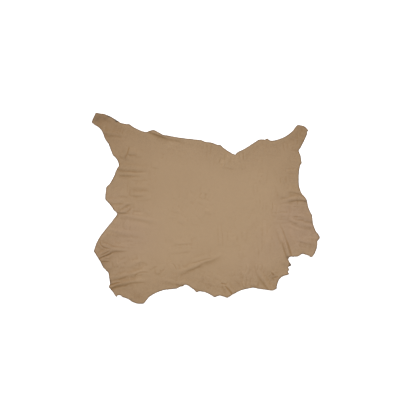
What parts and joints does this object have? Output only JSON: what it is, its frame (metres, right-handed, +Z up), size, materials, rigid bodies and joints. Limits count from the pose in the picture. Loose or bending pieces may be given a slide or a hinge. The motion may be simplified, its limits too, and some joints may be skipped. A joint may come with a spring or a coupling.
{
  "type": "lambskin leather hide",
  "caption": "Whole tanned lambskin lying flat, grain side up, with four shanks, side notches, a knife-trimmed uneven edge and low creases running in from the edge.",
  "frame": {"origin": "centre of the bounding box, on the surface that the hide lies on", "axes": "+X along the hide's greatest length, +Y across it towards the edge with the small notch, +Z up out of the grain side"},
  "size_m": [0.958, 0.8014, 0.0091],
  "materials": {
    "lambskin": "light taupe-tan, fine smooth grain, soft satin"
  },
  "bodies": {
    "root": {"lambskin_hide": "lambskin"}
  },
  "joints": []
}
